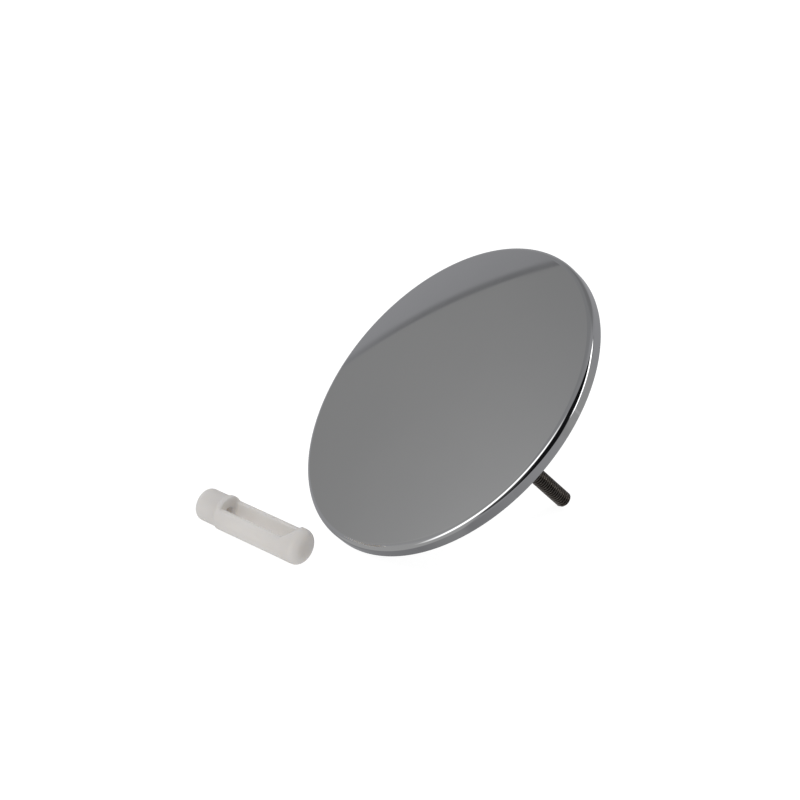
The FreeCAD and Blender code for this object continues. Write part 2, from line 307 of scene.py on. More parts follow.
@dataclass(frozen=True)
class MouldedFinish:
    """A moulded plastic or rubber: two shades in patches, sheen range, mould grain and depth of glow."""

    name: str
    slot: Slot
    colour: Colour
    shade: Colour
    smooth: float
    rough: float
    patch_scale: float
    fineness: float
    grain_depth: float
    glow: float = 0.0
    glow_reach: float = 1.0
    glow_tint: Colour = (1.0, 0.95, 0.85)

    def material(self, groups: Groups) -> bpy.types.Material:
        """Builds the material.

        Args:
            groups: the shared node groups.

        Returns:
            The material, with colour, roughness and fine relief that change over the surface.
        """
        made, bench = new_material(self.name)
        place = bench.node("ShaderNodeTexCoord").outputs["Object"]
        feeds = {"Place": place, "Scale": self.patch_scale, "Fineness": self.fineness}
        mottle = bench.node("ShaderNodeGroup", feeds, node_tree=groups.mottle)
        colour = bench.blend(mottle.outputs["Patches"], rgba(self.colour), rgba(self.shade))
        shader = bench.node("ShaderNodeBsdfPrincipled", {"Base Color": colour})
        sheen = bench.span(mottle.outputs["Grain"], 0.0, 1.0, self.smooth, self.rough)
        bench.feed(shader.inputs["Roughness"], sheen)
        if self.glow:
            shader.inputs["Subsurface Weight"].default_value = self.glow
            shader.inputs["Subsurface Scale"].default_value = self.glow_reach * MM
            shader.inputs["Subsurface Radius"].default_value = self.glow_tint
        bench.dress(shader, mottle.outputs["Grain"], self.grain_depth)
        return made


MIRROR_CHROME = MetalFinish(
    "mirror_chrome", Slot.CHROME, (0.618, 0.62, 0.624), (0.608, 0.611, 0.616), 0.02, 0.05,
    45.0, 40.0, 0.00002, 40.0, 0.5)
SATIN_CHROME = MetalFinish(
    "satin_chrome", Slot.CHROME, (0.50, 0.505, 0.515), (0.44, 0.44, 0.45), 0.26, 0.40,
    60.0, 25.0, 0.0003, 60.0, 0.5)
BRASS = MetalFinish(
    "brass", Slot.BRASS, (0.62, 0.45, 0.19), (0.50, 0.34, 0.13), 0.18, 0.42,
    160.0, 14.0, 0.003, 120.0, 0.7)
# The stud's hollow colour is painted shade, dark in the thread's roots.
STUD_STEEL = MetalFinish(
    "stud_steel", Slot.STUD, (0.36, 0.335, 0.31), (0.27, 0.245, 0.22), 0.24, 0.42,
    350.0, 9.0, 0.003, 200.0, 0.5, hollow=(0.045, 0.038, 0.032))
ZINC_STEEL = MetalFinish(
    "zinc_steel", Slot.FASTENER, (0.56, 0.57, 0.60), (0.46, 0.46, 0.47), 0.22, 0.45,
    220.0, 12.0, 0.003, 150.0, 0.8)
SEAL_RUBBER = MouldedFinish(
    "seal_rubber", Slot.RUBBER, (0.022, 0.022, 0.023), (0.035, 0.034, 0.033), 0.50, 0.72,
    120.0, 16.0, 0.006)
PLATE_PLASTIC = MouldedFinish(
    "plate_plastic", Slot.PLASTIC, (0.055, 0.057, 0.060), (0.075, 0.076, 0.078), 0.42, 0.62,
    90.0, 22.0, 0.005)
NYLON = MouldedFinish(
    "stem_nylon", Slot.NYLON, (0.712, 0.69, 0.674), (0.692, 0.67, 0.654), 0.42, 0.58,
    140.0, 15.0, 0.003, glow=1.0, glow_reach=4.5)


@dataclass(frozen=True)
class TurningAxis:
    """A line that pieces are turned about, with two directions square to it; its points are in metres."""

    start: Array
    along: Array
    side: Array
    up: Array

    @classmethod
    def of_joint(cls, name: str, back: float) -> "TurningAxis":
        """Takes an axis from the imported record.

        Args:
            name: a hinge of the record.
            back: millimetres from the axis's start to the hinge's own point.

        Returns:
            The axis, with along as the hinge has it and side level with the floor.
        """
        joint = next(j for j in frame["joints"] if j["name"] == name)
        along = np.array(joint["axis"]) / np.linalg.norm(joint["axis"])
        side = np.cross((0.0, 0.0, 1.0), along)
        side /= np.linalg.norm(side)
        return cls(np.array(joint["pos_m"]) - along * back * MM, along, side, np.cross(along, side))

    def place(self, radius: Array, angle: Array, depth: Array) -> Array:
        """Points at a radius, angle and depth, as start + depth along + radius (cos side + sin up)."""
        round_about = np.cos(angle)[..., None] * self.side + np.sin(angle)[..., None] * self.up
        return self.start + MM * (radius[..., None] * round_about + depth[..., None] * self.along)

    def matrix(self) -> Matrix:
        """Millimetres along, side and up of this axis to the row frame in metres."""
        turned = np.eye(4)
        turned[:3, :3] = MM * np.stack((self.along, self.side, self.up), axis=1)
        turned[:3, 3] = self.start
        return Matrix(turned.tolist())


def grid_faces(rows: int, columns: int, closed_rows: bool = False, lead: int = 0) -> Array:
    """Quads of a grid whose columns close on themselves.

    Args:
        rows: points along the outline.
        columns: points round it.
        closed_rows: whether the last row joins the first.
        lead: rows that the seam climbs, as on a screw.

    Returns:
        One row of four point numbers for each face.
    """
    count = rows if closed_rows else rows - 1 - lead
    i, j = np.meshgrid(np.arange(count), np.arange(columns), indexing="ij")
    after = (j + 1) % columns
    climb = np.where(j + 1 == columns, lead, 0)
    numbers = [(i, j), (i, after, climb), (i + 1, after, climb), (i + 1, j)]
    flat = [((n[0] + (n[2] if len(n) > 2 else 0)) % rows) * columns + n[1] for n in numbers]
    return np.stack([f.ravel() for f in flat], axis=1)


def new_mesh(name: str, points: Array, faces: list, normals: Array | None = None) -> bpy.types.Mesh:
    """Puts points and faces into a mesh, faces outwards and smooth.

    Args:
        name: the mesh's name.
        points: positions in metres, one row each.
        faces: arrays of point numbers, one array for quads and one for triangles.
        normals: outward directions of the points, where they are known from the formula.

    Returns:
        The mesh.
    """
    first = faces[0]
    fan = points - points.mean(axis=0)
    inside = np.einsum("ij,ij->i", fan[first[:, 0]], np.cross(fan[first[:, 1]], fan[first[:, 2]])).sum()
    turned = [f[:, ::-1] for f in faces] if inside < 0 else faces
    mesh = bpy.data.meshes.new(name)
    mesh.from_pydata(points.tolist(), [], [row for f in turned for row in f.tolist()])
    mesh.polygons.foreach_set("use_smooth", np.ones(len(mesh.polygons), bool))
    mesh.update()
    if normals is not None:
        mesh.normals_split_custom_set_from_vertices(normals.tolist())
    return mesh


class Outline:
    """A turned outline in radius and depth, with its outward direction at each point."""

    def __init__(self) -> None:
        """Starts with no points."""
        self.points: list[Array] = []
        self.normals: list[Array] = []

    def arc(self, centre: Pair, radius: float, start: float, end: float, steps: int) -> "Outline":
        """Adds a round.

        Args:
            centre: its radius and depth.
            radius: of the round; a negative one is a hollow, whose outward side faces its centre.
            start: angle of the first point in degrees: 0 is the front, 90 the outside and 180 the back.
            end: angle of the last point.
            steps: parts that it is divided into.

        Returns:
            This outline.
        """
        turn = np.radians(np.linspace(start, end, steps + 1))
        facing = np.stack((np.sin(turn), -np.cos(turn)), axis=1)
        self.points.append(np.array(centre) + radius * facing)
        self.normals.append(facing)
        return self

    def face(self, points: Array, facing: Pair) -> "Outline":
        """Adds points of a straight face with one outward direction."""
        self.points.append(np.asarray(points, float))
        self.normals.append(np.tile(np.asarray(facing, float), (len(points), 1)))
        return self

    @classmethod
    def section(cls, corners: list[tuple[float, float, float]], steps: int = 6) -> "Outline":
        """Makes a closed section with rounded corners.

        A round of radius r touches both sides of its corner: it starts r tan(turn / 2) before it, with turn
        the change of direction there. A hollow corner turns the other way and has its centre outside.

        Args:
            corners: radius, depth and round of each corner, in order.
            steps: parts that each round is divided into.

        Returns:
            The outline.
        """
        spots = np.array([corner[:2] for corner in corners])
        sides = np.roll(spots, -1, axis=0) - spots
        sides /= np.linalg.norm(sides, axis=1)[:, None]
        ahead = np.roll(spots, -1, axis=0)
        sense = np.sign(np.sum(spots[:, 0] * ahead[:, 1] - ahead[:, 0] * spots[:, 1]))
        made = cls()
        for k, (spot, (_, _, size)) in enumerate(zip(spots, corners)):
            come, go = sides[k - 1], sides[k]
            turn = math.atan2(come[0] * go[1] - come[1] * go[0], float(np.dot(come, go)))
            first = sense * np.array((come[1], -come[0]))
            swing = np.linspace(0.0, turn, steps + 1)
            facing = np.stack((first[0] * np.cos(swing) - first[1] * np.sin(swing),
                               first[0] * np.sin(swing) + first[1] * np.cos(swing)), axis=1)
            bulge = size * sense * np.sign(turn)
            begin = spot - come * size * math.tan(abs(turn) / 2.0)
            made.points.append(begin + bulge * (facing - first))
            made.normals.append(facing)
        return made

    def mesh(self, name: str, axis: TurningAxis, ends: Ends, columns: int = 192) -> bpy.types.Mesh:
        """Carries the outline round an axis.

        Point (i, j) lies at radius_i and depth_i, turned by j / columns of a full turn. A pole is one point.

        Args:
            name: the mesh's name.
            axis: what it is turned about.
            ends: how the outline closes.
            columns: points round the axis.

        Returns:
            The mesh, with the outline's own directions as its normals.
        """
        outline, facing = np.concatenate(self.points), np.concatenate(self.normals)
        if ends is Ends.POLES:
            outline, facing = outline[1:-1], facing[1:-1]
        angle = np.linspace(0.0, 2.0 * math.pi, columns, endpoint=False)
        radius, turn = np.meshgrid(outline[:, 0], angle, indexing="ij")
        depth = np.broadcast_to(outline[:, 1:2], radius.shape)
        points = axis.place(radius, turn, depth).reshape(-1, 3)
        tip = np.broadcast_to(facing[:, 1:2], radius.shape)
        out = np.broadcast_to(facing[:, 0:1], radius.shape)
        normals = (axis.place(out, turn, tip) - axis.start).reshape(-1, 3) / MM
        faces = [grid_faces(len(outline), columns, ends is Ends.LOOP)]
        if ends is Ends.POLES:
            poles = np.stack([axis.start + MM * axis.along * p[-1 if k else 0][1]
                              for k, p in enumerate((self.points[0], self.points[-1]))])
            j = np.arange(columns)
            after, top, last = (j + 1) % columns, len(points), (len(outline) - 1) * columns
            front = np.stack((np.full(columns, top), after, j), axis=1)
            back = np.stack((np.full(columns, top + 1), last + j, last + after), axis=1)
            points = np.concatenate((points, poles))
            normals = np.concatenate((normals, np.stack((-axis.along, axis.along))))
            faces.append(np.concatenate((front, back)))
        return new_mesh(name, points, faces, normals)


def add_piece(name: str, mesh: bpy.types.Mesh, body: Body, node: str) -> bpy.types.Object:
    """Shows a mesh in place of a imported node.

    Args:
        name: the piece's name.
        mesh: its mesh, already in place.
        body: the body that it rides on.
        node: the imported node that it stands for.

    Returns:
        The piece.
    """
    piece = place_object(name, mesh)
    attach(piece, body.value)
    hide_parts(node)
    LOG.info("%s: %d points, rides on %s", name, len(mesh.vertices), body.value)
    return piece


@dataclass
class Cap:
    """Thin polished disc with a faintly domed face, rounded edge and hollow back."""

    axis: TurningAxis
    radius: float = 40.0
    rise: float = 0.8
    rim: float = 4.3
    edge_round: float = 1.4
    recess: float = 1.7
    wall: float = 1.2
    rim_round: float = 0.22
    corner_round: float = 0.5
    edge_lead: float = 2.0
    face_rows: int = 44
    edge_rows: int = 30
    round_rows: int = 6
    back_rows: int = 12
    columns: int = 320

    def outline(self) -> tuple[Outline, int]:
        """Works out the cap's outline from the crown, over the edge and back to the middle of the hollow.

        The face is an arc of the sphere through crown and edge; the edge round touches it inside and ends
        square to the rim.

        Returns:
            The outline, and how many of its points are polished.
        """
        sphere = (self.radius**2 + self.rise**2) / (2.0 * self.rise)
        inset = self.radius - self.edge_round
        level = sphere - math.sqrt((sphere - self.edge_round) ** 2 - inset**2)
        meet = math.degrees(math.atan2(inset, sphere - level))
        inner = self.radius - self.wall
        rim = self.rim - self.rim_round
        made = Outline()
        made.arc((0.0, sphere), sphere, 0.0, meet, self.face_rows)
        made.arc((inset, level), self.edge_round, meet + self.edge_lead, 90.0, self.edge_rows)
        made.arc((self.radius - self.rim_round, rim), self.rim_round, 90.0, 180.0, self.round_rows)
        polished = sum(len(p) for p in made.points)
        made.arc((inner + self.rim_round, rim), self.rim_round, 180.0, 270.0, self.round_rows)
        corner = (inner - self.corner_round, self.recess + self.corner_round)
        made.arc(corner, -self.corner_round, 270.0, 180.0, self.round_rows)
        hollow = np.linspace(corner[0], 0.0, self.back_rows)[1:]
        made.face(np.stack((hollow, np.full(len(hollow), self.recess)), axis=1), (0.0, 1.0))
        return made, polished

    def build(self, groups: Groups) -> None:
        """Makes the cap: polished outside, satin inside the hollow."""
        made, polished = self.outline()
        mesh = made.mesh("cap_shell", self.axis, Ends.POLES, self.columns)
        mesh.materials.append(MIRROR_CHROME.material(groups))
        mesh.materials.append(SATIN_CHROME.material(groups))
        number = np.arange(len(mesh.polygons))
        rows = number // self.columns
        band = (rows >= polished - 1) & (rows < len(mesh.polygons) // self.columns - 2)
        back_fan = number >= len(mesh.polygons) - self.columns
        mesh.polygons.foreach_set("material_index", (band | back_fan).astype(np.int32))
        add_piece("cap_shell", mesh, Body.STOPPER, "cap")


@dataclass
class ThreadedStud:
    """Steel rod with a screw thread at each end and a thinner plain shank between."""

    axis: TurningAxis
    head: float = 3.7
    tip: float = 48.7
    crest: float = 2.0
    pitch: float = 0.7
    thread_depth: float = 0.43
    shank: float = 1.7
    upper_end: float = 19.3
    lower_start: float = 28.3
    runout: float = 0.4
    chamfer: float = 0.4
    crest_share: float = 0.125
    flank_share: float = 0.62
    lead_turns: float = 1.5
    spare_turns: int = 3
    cut_slack: float = 0.0001
    sharp: float = 50.0
    columns: int = 56

    def surface(self) -> tuple[Array, Array, int, int]:
        """Works out the thread on a grid sheared along the screw line.

        Each row has a turn number and a place in the thread's tooth, and column j an angle, so depth is
        start + pitch (turn + place + j / columns) and the crest runs exactly along rows. The tooth is a
        triangle wave clipped to a flat crest and a rounded root. On the shank the radius eases to the plain
        one, and at the ends a 45 degree cone cuts it.

        Returns:
            Points, how hollow each one lies, rows and rows per turn.
        """
        tooth = np.array((0.0, 0.05, 0.075, 0.11, 0.2, 0.3, 0.36, 0.42,
                          0.5, 0.58, 0.64, 0.7, 0.8, 0.89, 0.925, 0.95))
        per_turn = len(tooth)
        turns = math.ceil((self.tip - self.head) / self.pitch) + self.spare_turns
        phase = (np.arange(turns)[:, None] + tooth[None, :]).ravel()
        triangle = 2.0 * np.abs((tooth + 0.5) % 1.0 - 0.5)
        wave = np.tile(np.clip((triangle - self.crest_share) / self.flank_share, 0.0, 1.0), turns)
        wave = wave * (1.5 - 0.5 * wave**2) * 0.5 + wave * 0.5
        j = np.arange(self.columns)
        start = self.head - self.lead_turns * self.pitch
        depth = start + self.pitch * (phase[:, None] + j[None, :] / self.columns)
        ease_in = np.clip((depth - self.upper_end) / self.runout, 0.0, 1.0)
        ease_out = np.clip((self.lower_start - depth) / self.runout, 0.0, 1.0)
        plain = np.minimum(ease_in, ease_out)
        radius = self.crest - self.thread_depth * wave[:, None]
        radius = radius * (1.0 - plain) + self.shank * plain
        cone = self.crest - self.chamfer
        radius = np.minimum(radius, cone + np.maximum(np.minimum(depth - self.head, self.tip - depth), 0.0))
        angle = np.broadcast_to(2.0 * math.pi * j / self.columns, depth.shape)
        hollow = (wave[:, None] * (1.0 - plain)).ravel()
        return self.axis.place(radius, angle, depth).reshape(-1, 3), hollow, len(phase), per_turn

    def build(self, groups: Groups) -> None:
        """Makes the stud: the endless screw is cut square at both ends and closed."""
        points, hollow, rows, per_turn = self.surface()
        mesh = new_mesh("stud_rod", points, [grid_faces(rows, self.columns, lead=per_turn)])
        # The hollow share leads the painted shade in the thread's roots.
        mesh.attributes.new("hollow", "FLOAT", "POINT").data.foreach_set("value", hollow.astype(np.float32))
        shape = bmesh.new()
        shape.from_mesh(mesh)
        for depth, way in ((self.head, -1.0), (self.tip, 1.0)):
            cut = self.axis.start + MM * depth * self.axis.along
            geometry = [*shape.verts, *shape.edges, *shape.faces]
            bmesh.ops.bisect_plane(shape, geom=geometry, dist=self.cut_slack * MM, plane_co=cut.tolist(),
                                   plane_no=(way * self.axis.along).tolist(), clear_outer=True)
        loose = [v for v in shape.verts if not v.link_faces]
        bmesh.ops.delete(shape, geom=loose, context="VERTS")
        bmesh.ops.holes_fill(shape, edges=[e for e in shape.edges if e.is_boundary], sides=0)
        bmesh.ops.recalc_face_normals(shape, faces=shape.faces)
        shape.to_mesh(mesh)
        shape.free()
        mesh.set_sharp_from_angle(angle=math.radians(self.sharp))
        mesh.materials.append(STUD_STEEL.material(groups))
        add_piece("stud_rod", mesh, Body.STOPPER, "stud")


@dataclass
class SealStack:
    """Brass insert and rubber ring on the cap's back, with the washer that clamps the plate over them."""

    axis: TurningAxis
    seat: float = 1.7
    boss_radius: float = 8.0
    boss_bore: float = 2.05
    boss_back: float = 7.7
    boss_chamfer: float = 0.5
    ring_inside: float = 24.1
    ring_neck: float = 27.9
    ring_outside: float = 32.0
    lip_front: float = 2.2
    lip_back: float = 5.0
    lip_round: float = 0.8
    tongue_back: float = 4.2
    washer_radius: float = 11.0
    washer_bore: float = 2.15
    washer_front: float = 8.2
    washer_back: float = 9.2
    boss_round: float = 0.1
    boss_soft: float = 0.15
    boss_mouth: float = 0.4
    tongue_round: float = 0.12
    neck_round: float = 0.15
    slope_round: float = 0.2
    step_round: float = 0.3
    washer_rounds: tuple[float, float, float, float] = (0.08, 0.1, 0.3, 0.2)

    def boss(self) -> Outline:
        """Section of the insert, chamfered at its back and at its bore."""
        edge, bore, back = self.boss_radius, self.boss_bore, self.boss_back
        fine, soft, mouth = self.boss_round, self.boss_soft, self.boss_mouth
        return Outline.section([
            (bore, self.seat, fine), (edge, self.seat, fine), (edge, back - self.boss_chamfer, soft),
            (edge - self.boss_chamfer, back, soft), (bore + mouth, back, fine), (bore, back - mouth, fine)])

    def ring(self) -> Outline:
        """Section of the rubber ring: a thin tongue held by the plate and a thicker round lip outside it."""
        neck, inside, outside = self.ring_neck, self.ring_inside, self.ring_outside
        slope = self.lip_front - self.seat
        return Outline.section([
            (inside, self.seat, self.tongue_round), (neck, self.seat, self.neck_round),
            (neck + slope, self.lip_front, self.slope_round), (outside, self.lip_front, self.lip_round),
            (outside, self.lip_back, self.lip_round), (neck, self.lip_back, self.step_round),
            (neck, self.tongue_back, self.neck_round), (inside, self.tongue_back, self.tongue_round)])

    def washer(self) -> Outline:
        """Section of the stamped washer: rolled edges at the back, sharper ones at the front."""
        bore, edge, front, back = self.washer_bore, self.washer_radius, self.washer_front, self.washer_back
        corners = ((bore, front), (edge, front), (edge, back), (bore, back))
        return Outline.section([(*corner, size) for corner, size in zip(corners, self.washer_rounds)])

    def build(self, groups: Groups) -> None:
        """Turns the three sections round the axis."""
        for node, outline, finish, body in (
                ("boss", self.boss(), BRASS, Body.STOPPER),
                ("seal_ring", self.ring(), SEAL_RUBBER, Body.STOPPER),
                ("clamp_washer", self.washer(), ZINC_STEEL, Body.WASHER)):
            mesh = outline.mesh(node + "_turned", self.axis, Ends.LOOP)
            mesh.materials.append(finish.material(groups))
            add_piece(node + "_turned", mesh, body, node)


@dataclass
class SealPlate:
    """Moulded plate: a spigot inside the rubber ring, a flange behind it and a hub with ribs."""

    axis: TurningAxis
    bore: float = 8.1
    spigot: float = 24.0
    flange: float = 27.5
    hub: float = 12.0
    front: float = 1.7
    step: float = 4.2
    back: float = 6.2
    hub_back: float = 8.2
    rib_half: float = 1.0
    rib_end: float = 26.0
    rib_height: float = 1.4
    first_rib: float = 30.0
    ribs: int = 6
    free_columns: int = 12
    back_slack: float = 0.01
    back_reach: float = 0.3
    rounds: tuple[float, ...] = (0.15, 0.15, 0.1, 0.2, 0.6, 0.25, 0.3, 0.15)
    sharp: float = 48.0

    def rise(self, beyond: Array) -> Array:
        """Share of the rib's height at a distance beyond its edge, rounded above and filleted below."""
        return np.interp(beyond, (-0.25, -0.12, -0.03, 0.02, 0.12, 0.3), (1.0, 0.963, 0.85, 0.12, 0.03, 0.0))

    def surface(self) -> tuple[Array, int, int]:
        """Works out the plate on a grid of section rows and columns round the axis.

        Columns near a rib keep their distance y from its middle line, so their angle is asin(y / radius); the
        others share out the angle up to the next rib. Back rows are lifted by the rib's height times the
        smaller of the rises across and along it.

        Returns:
            Points, rows and columns.
        """
        corners = ((self.bore, self.front), (self.spigot, self.front), (self.spigot, self.step),
                   (self.flange, self.step), (self.flange, self.back), (self.hub, self.back),
                   (self.hub, self.hub_back), (self.bore, self.hub_back))
        outline = Outline.section([(*corner, size) for corner, size in zip(corners, self.rounds)])
        steps = (0.25, 0.12, 0.06, 0.02, -0.03, -0.08, -0.15, -0.25, -1.0, -4.0, -8.0, -11.0)
        along = self.rib_end + np.array(steps)
        flat = np.stack((along, np.full(len(along), self.back)), axis=1)
        rows = np.concatenate((*outline.points[:5], flat, *outline.points[5:]))
        half = np.array((0.0, 0.4, 0.75, 0.88, 0.94, 0.97, 1.02, 1.06, 1.12, 1.3)) * self.rib_half
        across = np.concatenate((-half[:0:-1], half))
        radius = rows[:, 0][:, None]
        near = np.arcsin(across[None, :] / radius)
        sector = 2.0 * math.pi / self.ribs
        share = np.linspace(0.0, 1.0, self.free_columns + 2)[1:-1]
        free = near[:, -1:] + share[None, :] * (sector - 2.0 * near[:, -1:])
        one = np.concatenate((near, free), axis=1)
        lift = np.concatenate((self.rise(np.abs(across) - self.rib_half), np.zeros(len(share))))
        turn = np.concatenate([one + k * sector for k in range(self.ribs)], axis=1)
        turn = turn + math.radians(self.first_rib)
        lift = np.tile(lift, self.ribs)
        behind = (rows[:, 1] > self.back - self.back_slack) & (rows[:, 1] < self.back + self.back_reach)
        ends = np.where(behind, self.rise(rows[:, 0] - self.rib_end), 0.0)
        depth = rows[:, 1][:, None] + self.rib_height * np.minimum(ends[:, None], lift[None, :])
        points = self.axis.place(np.broadcast_to(radius, turn.shape), turn, depth)
        return points.reshape(-1, 3), turn.shape[0], turn.shape[1]

    def build(self, groups: Groups) -> None:
        """Makes the plate."""
        points, rows, columns = self.surface()
        mesh = new_mesh("seal_plate_moulded", points, [grid_faces(rows, columns, closed_rows=True)])
        mesh.set_sharp_from_angle(angle=math.radians(self.sharp))
        mesh.materials.append(PLATE_PLASTIC.material(groups))
        add_piece("seal_plate_moulded", mesh, Body.STOPPER, "seal_plate")


@dataclass
class ClampNut:
    """Plain hexagon nut with chamfered faces."""

    axis: TurningAxis
    half_width: float = 3.5
    corner: float = 4.0
    bore: float = 2.05
    front: float = 9.2
    back: float = 12.4
    face: float = 3.4
    sink: float = 0.3
    first_corner: float = 30.0
    cone_slope: float = 2.0
    side_start: float = 0.5
    sharp: float = 24.0
    columns: int = 144

    def surface(self) -> tuple[Array, int]:
        """Works out the nut on a polar grid.

        The radius is the smallest of the hexagon's, half width / cos(angle from the flat's middle), the worn
        corner's and the chamfer cone's, which grows by the cone's slope times the depth below a face.

        Returns:
            Points and rows.
        """
        turn = np.linspace(0.0, 2.0 * math.pi, self.columns, endpoint=False) + math.radians(self.first_corner)
        flat = (turn - math.radians(self.first_corner)) % (math.pi / 3.0) - math.pi / 6.0
        side = np.minimum(self.half_width / np.cos(flat), self.corner)
        below = np.array((0.03, 0.05, 0.08, 0.12, 0.16, 0.2, 0.24, 0.28, 0.32))
        mouth = (self.bore, self.bore + self.sink, self.face)
        limit = np.concatenate((mouth, self.face + self.cone_slope * below, (self.corner,)))
        drop = np.concatenate(((self.sink, 0.0, 0.0), below, (self.side_start,)))
        limits = np.concatenate((limit, limit[::-1]))
        depths = np.concatenate((self.front + drop, self.back - drop[::-1]))
        radius = np.minimum(limits[:, None], side[None, :])
        angle = np.broadcast_to(turn, radius.shape)
        depth = np.broadcast_to(depths[:, None], radius.shape)
        return self.axis.place(radius, angle, depth).reshape(-1, 3), len(depths)

    def build(self, groups: Groups) -> None:
        """Makes the nut."""
        points, rows = self.surface()
        mesh = new_mesh("clamp_nut_hex", points, [grid_faces(rows, self.columns, closed_rows=True)])
        mesh.set_sharp_from_angle(angle=math.radians(self.sharp))
        mesh.materials.append(ZINC_STEEL.material(groups))
        add_piece("clamp_nut_hex", mesh, Body.NUT, "clamp_nut")


@dataclass
class EyeStem:
    """Nylon stem: neck, collar, long slot between flat-topped walls, round nose and soft moulded edges."""

    axis: TurningAxis
    skin: float = 0.15
    soften: int = 8
    soften_share: float = 0.5
    merge: float = 0.001

    def build(self, groups: Groups) -> None:
        """Makes the stem from a merged copy of its solid, skinned finely along its own axis and softened."""
        shape = bmesh.new()
        shape.from_mesh(frame["nodes"]["eye_stem"].data)
        bmesh.ops.remove_doubles(shape, verts=shape.verts, dist=self.merge * MM)
        shape.transform(self.axis.matrix().inverted())
        rough = bpy.data.meshes.new("stem_rough")
        shape.to_mesh(rough)
        shape.free()
        blank = place_object("stem_blank", rough)
        skin = blank.modifiers.new("skin", "REMESH")
        skin.mode, skin.voxel_size = "VOXEL", self.skin
        soft = blank.modifiers.new("soft", "SMOOTH")
        soft.factor, soft.iterations = self.soften_share, self.soften
        seen = blank.evaluated_get(bpy.context.evaluated_depsgraph_get())
        mesh = bpy.data.meshes.new_from_object(seen)
        bpy.data.objects.remove(blank)
        mesh.name = "eye_stem_body"
        mesh.transform(self.axis.matrix())
        mesh.materials.clear()
        mesh.materials.append(NYLON.material(groups))
        mesh.polygons.foreach_set("use_smooth", np.ones(len(mesh.polygons), bool))
        mesh.polygons.foreach_set("material_index", np.zeros(len(mesh.polygons), np.int32))
        add_piece("eye_stem_body", mesh, Body.STEM, "eye_stem")


def sky(azimuth: float, elevation: float) -> Array:
    """Direction at an azimuth, from +X towards +Y, and an elevation above the floor, both in degrees."""
    az, el = np.radians((azimuth, elevation))
    return np.array((math.cos(el) * math.cos(az), math.cos(el) * math.sin(az), math.sin(el)))

@dataclass(frozen=True)
class SoftCard:
    """A lamp, flag or shaded stretch of wall round the object, in degrees as seen from it."""

    azimuth: float
    elevation: float
    roll: float
    half_length: float
    half_width: float
    end_softness: float
    side_softness: float
    colour: Colour

    def lines(self) -> tuple[Array, Array, Array]:
        """Directions to the card's centre, along it and across it."""
        roll = math.radians(self.roll)
        up = sky(self.azimuth, self.elevation + 90.0)
        side = sky(self.azimuth + 90.0, 0.0)
        along = math.cos(roll) * up + math.sin(roll) * side
        return sky(self.azimuth, self.elevation), along, math.cos(roll) * side - math.sin(roll) * up


